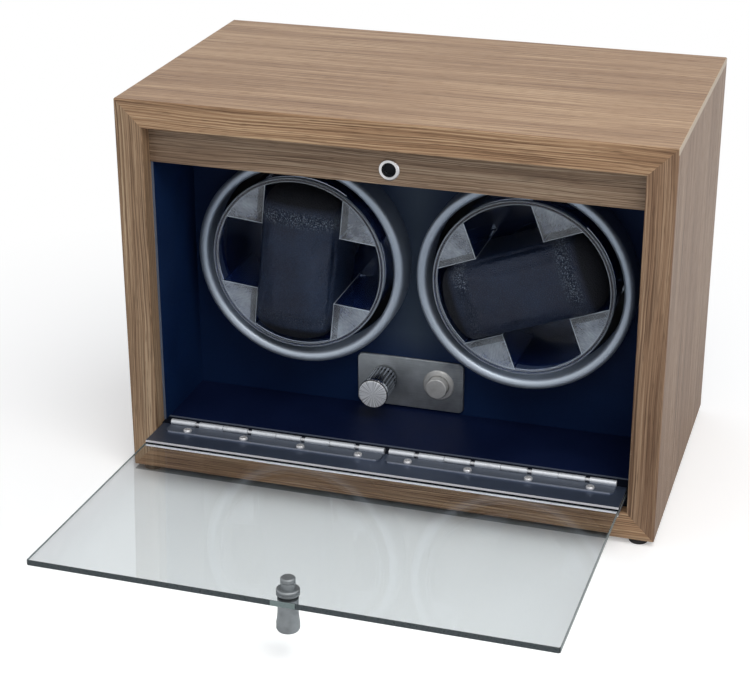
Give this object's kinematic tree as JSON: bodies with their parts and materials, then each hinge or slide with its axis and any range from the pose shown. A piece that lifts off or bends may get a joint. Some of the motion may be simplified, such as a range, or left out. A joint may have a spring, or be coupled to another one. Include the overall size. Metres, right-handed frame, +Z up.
{
  "type": "watch winder",
  "caption": "Free-standing box with a drop-down glass door, turning clear cups that hold watch cushions, a selector knob and a push button.",
  "frame": {"origin": "centre of the footprint with the door open, at the level of the feet's undersides", "axes": "+X to the object's right as seen from the front, +Y from the door towards the back, +Z up"},
  "size_m": [0.29, 0.329, 0.215],
  "materials": {
    "walnut_foil": "satin, printed walnut grain, mitred corners",
    "navy_cloth": "matt navy-black leather cloth",
    "grey_ring": "satin mid grey",
    "clear_plastic": "clear, polished",
    "cushion_leather": "pebbled black leather cloth",
    "nickel": "brushed, warm nickel",
    "chrome": "bright",
    "knob_metal": "fluted, dark nickel",
    "door_pane": "clear, with a grey-green edge",
    "dark_aluminium": "satin dark grey, bright at the lips",
    "hinge_steel": "bright nickel plate",
    "screw_steel": "bright",
    "grey_knob": "satin mid grey",
    "rubber": "matt black",
    "plywood": "plain",
    "black_board": "matt black",
    "black_plastic": "matt black",
    "bearing_bronze": "plain",
    "shaft_steel": "ground",
    "white_plastic": "matt",
    "motor_steel": "plated can",
    "circuit_green": "solder resist",
    "magnet_nickel": "plated"
  },
  "bodies": {
    "cabinet": {"top_board": "walnut_foil", "bottom_board": "walnut_foil", "left_board": "walnut_foil", "right_board": "walnut_foil", "catch_rail": "walnut_foil", "hinge_strip": "navy_cloth", "floor_board": "navy_cloth", "left_liner": "navy_cloth", "right_liner": "navy_cloth", "ceiling_liner": "navy_cloth", "faceplate": "navy_cloth", "left_bezel_ring": "grey_ring", "right_bezel_ring": "grey_ring", "control_plate": "nickel", "selector_nut": "nickel", "button_bezel": "nickel", "rotary_switch": "black_plastic", "push_switch": "black_plastic", "circuit_board": "circuit_green", "catch_ring": "nickel", "catch_magnet": "magnet_nickel", "rubber_feet": "rubber", "hinge_case_leaves": "hinge_steel", "hinge_case_screws": "screw_steel", "hinge_pins": "screw_steel", "bearing_board": "plywood", "shaft_bearings": "bearing_bronze", "left_gearmotor": "motor_steel", "right_gearmotor": "motor_steel", "left_belt": "rubber", "right_belt": "rubber", "corner_blocks": "plywood", "back_cover": "black_board", "back_cover_screws": "screw_steel", "power_jack": "black_plastic", "wiring": "rubber"},
    "door": {"door_glass": "door_pane", "door_channel": "dark_aluminium", "hinge_door_leaves": "hinge_steel", "hinge_door_screws": "screw_steel", "door_knob": "grey_knob", "door_knob_washers": "rubber", "door_knob_collar": "grey_knob", "door_knob_stud": "grey_knob"},
    "left_drum": {"left_cup": "clear_plastic", "left_cup_hub": "white_plastic", "left_drum_shaft": "shaft_steel", "left_drum_pulley": "white_plastic"},
    "right_drum": {"right_cup": "clear_plastic", "right_cup_hub": "white_plastic", "right_drum_shaft": "shaft_steel", "right_drum_pulley": "white_plastic"},
    "left_pad": {"left_cushion": "cushion_leather"},
    "right_pad": {"right_cushion": "cushion_leather"},
    "left_motor": {"left_motor_pulley": "white_plastic"},
    "right_motor": {"right_motor_pulley": "white_plastic"},
    "selector": {"selector_knob": "knob_metal", "selector_cap": "chrome", "selector_shaft": "shaft_steel"},
    "button": {"button_cap": "nickel"}
  },
  "joints": [
    {"name": "door_hinge", "type": "hinge", "parent": "cabinet", "child": "door", "pos_m": [0, -0.0002, 0.0315], "axis": [1, 0, 0], "range_deg": [-87.7, 0]},
    {"name": "left_drum_spin", "type": "hinge", "parent": "cabinet", "child": "left_drum", "pos_m": [-0.0622, 0.0545, 0.1169], "axis": [0, 1, 0], "continuous": true},
    {"name": "right_drum_spin", "type": "hinge", "parent": "cabinet", "child": "right_drum", "pos_m": [0.0622, 0.0545, 0.1169], "axis": [0, 1, 0], "continuous": true},
    {"name": "left_cushion_slide", "type": "slide", "parent": "left_drum", "child": "left_pad", "axis": [0, -1, 0], "range_m": [0, 0.06]},
    {"name": "right_cushion_slide", "type": "slide", "parent": "right_drum", "child": "right_pad", "axis": [0, -1, 0], "range_m": [0, 0.06]},
    {"name": "left_motor_spin", "type": "hinge", "parent": "cabinet", "child": "left_motor", "pos_m": [-0.1, 0.1185, 0.045], "axis": [0, 1, 0], "continuous": true},
    {"name": "right_motor_spin", "type": "hinge", "parent": "cabinet", "child": "right_motor", "pos_m": [0.1, 0.1185, 0.045], "axis": [0, 1, 0], "continuous": true},
    {"name": "selector_turn", "type": "hinge", "parent": "cabinet", "child": "selector", "pos_m": [-0.0186, 0.0545, 0.047], "axis": [0, -1, 0], "range_deg": [-270, 0]},
    {"name": "button_press", "type": "slide", "parent": "cabinet", "child": "button", "axis": [0, 1, 0], "range_m": [0, 0.002], "stiffness_N_per_m": 500, "springref_m": -0.001}
  ],
  "couplings": [
    {"joint": "left_motor_spin", "follows": "left_drum_spin", "ratio": 3.5714},
    {"joint": "right_motor_spin", "follows": "right_drum_spin", "ratio": 3.5714}
  ]
}
